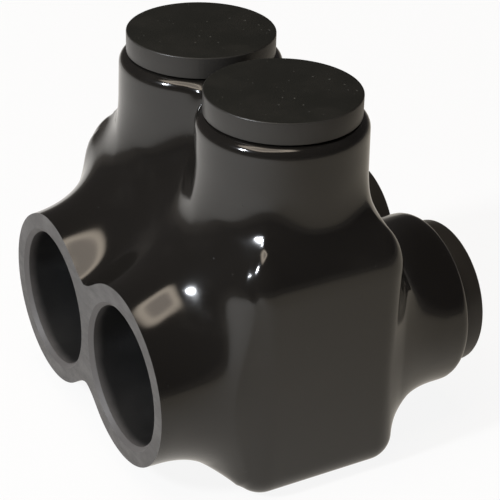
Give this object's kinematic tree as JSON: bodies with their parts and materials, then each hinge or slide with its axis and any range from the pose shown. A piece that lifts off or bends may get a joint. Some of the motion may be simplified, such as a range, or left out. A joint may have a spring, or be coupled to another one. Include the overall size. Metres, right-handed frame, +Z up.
{
  "type": "insulated multi-tap connector",
  "caption": "Terminal block in a glossy dip-moulded cover, with open and plugged wire sleeves, set screws in necks and push-in closing plugs.",
  "frame": {"origin": "on the bottom face, midway between the two ports and under the plane of the set screws' axes", "axes": "+X along the row of ports, +Y along the wires towards the plugged ports, +Z up along the set screws"},
  "size_m": [0.0736, 0.0717, 0.0736],
  "materials": {
    "cover": "glossy dip-moulded soft vinyl, black",
    "block": "sawn and drilled bar",
    "set_screw": "turned, bright",
    "plug": "matte moulded, black"
  },
  "bodies": {
    "housing": {"insulating_cover": "cover", "terminal_block": "block"},
    "set_screw_1": {"set_screw_1": "set_screw"},
    "set_screw_2": {"set_screw_2": "set_screw"},
    "screw_plug_1": {"screw_plug_1": "plug"},
    "screw_plug_2": {"screw_plug_2": "plug"},
    "port_plug_1": {"port_plug_1": "plug"},
    "port_plug_2": {"port_plug_2": "plug"}
  },
  "joints": [
    {"name": "set_screw_1_travel", "type": "slide", "parent": "housing", "child": "set_screw_1", "axis": [0, 0, -1], "range_m": [0, 0.014]},
    {"name": "set_screw_2_travel", "type": "slide", "parent": "housing", "child": "set_screw_2", "axis": [0, 0, -1], "range_m": [0, 0.014]},
    {"name": "screw_plug_1_pull", "type": "slide", "parent": "housing", "child": "screw_plug_1", "axis": [0, 0, 1], "range_m": [0, 0.03]},
    {"name": "screw_plug_2_pull", "type": "slide", "parent": "housing", "child": "screw_plug_2", "axis": [0, 0, 1], "range_m": [0, 0.03]},
    {"name": "port_plug_1_pull", "type": "slide", "parent": "housing", "child": "port_plug_1", "axis": [0, 1, 0], "range_m": [0, 0.03]},
    {"name": "port_plug_2_pull", "type": "slide", "parent": "housing", "child": "port_plug_2", "axis": [0, 1, 0], "range_m": [0, 0.03]}
  ]
}
